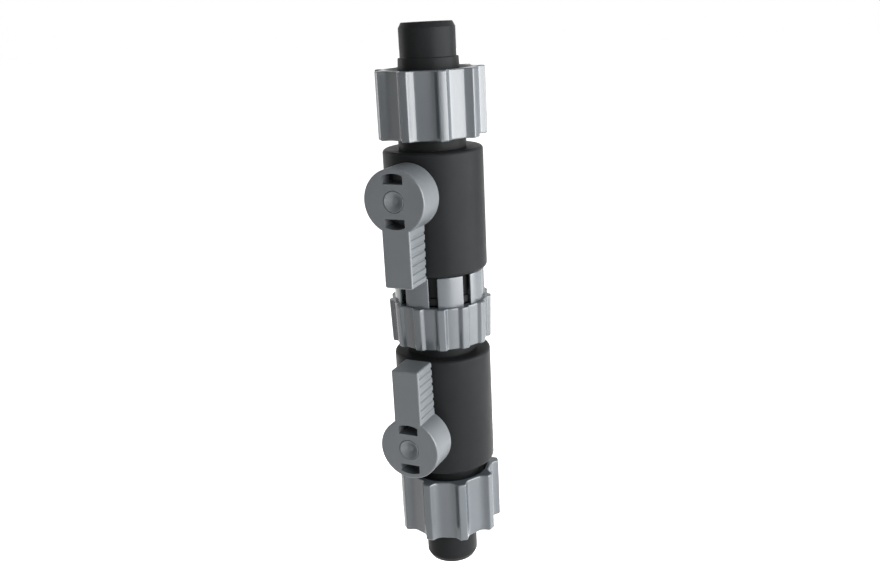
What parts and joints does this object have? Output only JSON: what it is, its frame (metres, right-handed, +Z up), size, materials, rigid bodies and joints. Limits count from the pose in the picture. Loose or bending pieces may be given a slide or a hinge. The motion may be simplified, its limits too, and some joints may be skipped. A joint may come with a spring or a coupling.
{
  "type": "quick disconnect hose coupling",
  "caption": "Hose coupling that parts at a union nut, with a lever-worked ball tap, a hose tail and a fluted clamp nut on each half.",
  "frame": {"origin": "on the flow axis, halfway along the parallel land of the upper hose tail", "axes": "+Z up the flow axis, out of the upper hose tail; the tap levers face -Y; +X is to the right of someone who looks at the levers"},
  "size_m": [0.0315, 0.0418, 0.1666],
  "materials": {
    "black_plastic": "satin moulded, near black",
    "grey_plastic": "semi-gloss moulded, cool grey",
    "seal_rubber": "soft sealing rubber",
    "seat_plastic": "white low-friction plastic",
    "ball_plastic": "smooth pale plastic"
  },
  "bodies": {
    "upper_half": {"upper_body": "black_plastic", "upper_hose_tail": "black_plastic", "upper_tail_sealing_ring": "seal_rubber", "upper_hose_side_seat": "seat_plastic", "upper_union_side_seat": "seat_plastic", "coupling_seal": "seal_rubber"},
    "upper_tap": {"upper_tap_ball": "ball_plastic", "upper_tap_stem": "black_plastic", "upper_stem_sealing_ring": "seal_rubber", "upper_tap_lever": "grey_plastic", "upper_lever_pin": "grey_plastic"},
    "upper_clamp_ring": {"upper_clamp_ring": "seat_plastic"},
    "upper_clamp_nut": {"upper_clamp_nut": "grey_plastic"},
    "union_nut": {"union_nut": "grey_plastic"},
    "lower_half": {"lower_body": "black_plastic", "lower_hose_tail": "black_plastic", "lower_tail_sealing_ring": "seal_rubber", "lower_hose_side_seat": "seat_plastic", "lower_union_side_seat": "seat_plastic"},
    "lower_tap": {"lower_tap_ball": "ball_plastic", "lower_tap_stem": "black_plastic", "lower_stem_sealing_ring": "seal_rubber", "lower_tap_lever": "grey_plastic", "lower_lever_pin": "grey_plastic"},
    "lower_clamp_ring": {"lower_clamp_ring": "seat_plastic"},
    "lower_clamp_nut": {"lower_clamp_nut": "grey_plastic"}
  },
  "joints": [
    {"name": "union_nut_turn", "type": "hinge", "parent": "upper_half", "child": "union_nut", "pos_m": [0, 0, -0.0805], "axis": [0, 0, 1], "range_deg": [0, 4680]},
    {"name": "lower_half_travel", "type": "slide", "parent": "upper_half", "child": "lower_half", "axis": [0, 0, -1], "range_m": [0, 0.026]},
    {"name": "upper_tap_turn", "type": "hinge", "parent": "upper_half", "child": "upper_tap", "pos_m": [0, -0.012, -0.04015], "axis": [0, 1, 0], "range_deg": [0, 90]},
    {"name": "upper_clamp_travel", "type": "slide", "parent": "upper_half", "child": "upper_clamp_ring", "axis": [0, 0, 1], "range_m": [0, 0.0075]},
    {"name": "upper_clamp_turn", "type": "hinge", "parent": "upper_clamp_ring", "child": "upper_clamp_nut", "pos_m": [0, 0, -0.01645], "axis": [0, 0, 1], "range_deg": [0, 1080]},
    {"name": "lower_tap_turn", "type": "hinge", "parent": "lower_half", "child": "lower_tap", "pos_m": [0, -0.012, -0.11295], "axis": [0, 1, 0], "range_deg": [0, 90]},
    {"name": "lower_clamp_travel", "type": "slide", "parent": "lower_half", "child": "lower_clamp_ring", "axis": [0, 0, -1], "range_m": [0, 0.0075]},
    {"name": "lower_clamp_turn", "type": "hinge", "parent": "lower_clamp_ring", "child": "lower_clamp_nut", "pos_m": [0, 0, -0.13915], "axis": [0, 0, -1], "range_deg": [0, 1080]}
  ],
  "couplings": [
    {"joint": "union_nut_turn", "follows": "lower_half_travel", "rad_per_m": 3141.6},
    {"joint": "upper_clamp_turn", "follows": "upper_clamp_travel", "rad_per_m": 2513.3},
    {"joint": "lower_clamp_turn", "follows": "lower_clamp_travel", "rad_per_m": 2513.3}
  ]
}
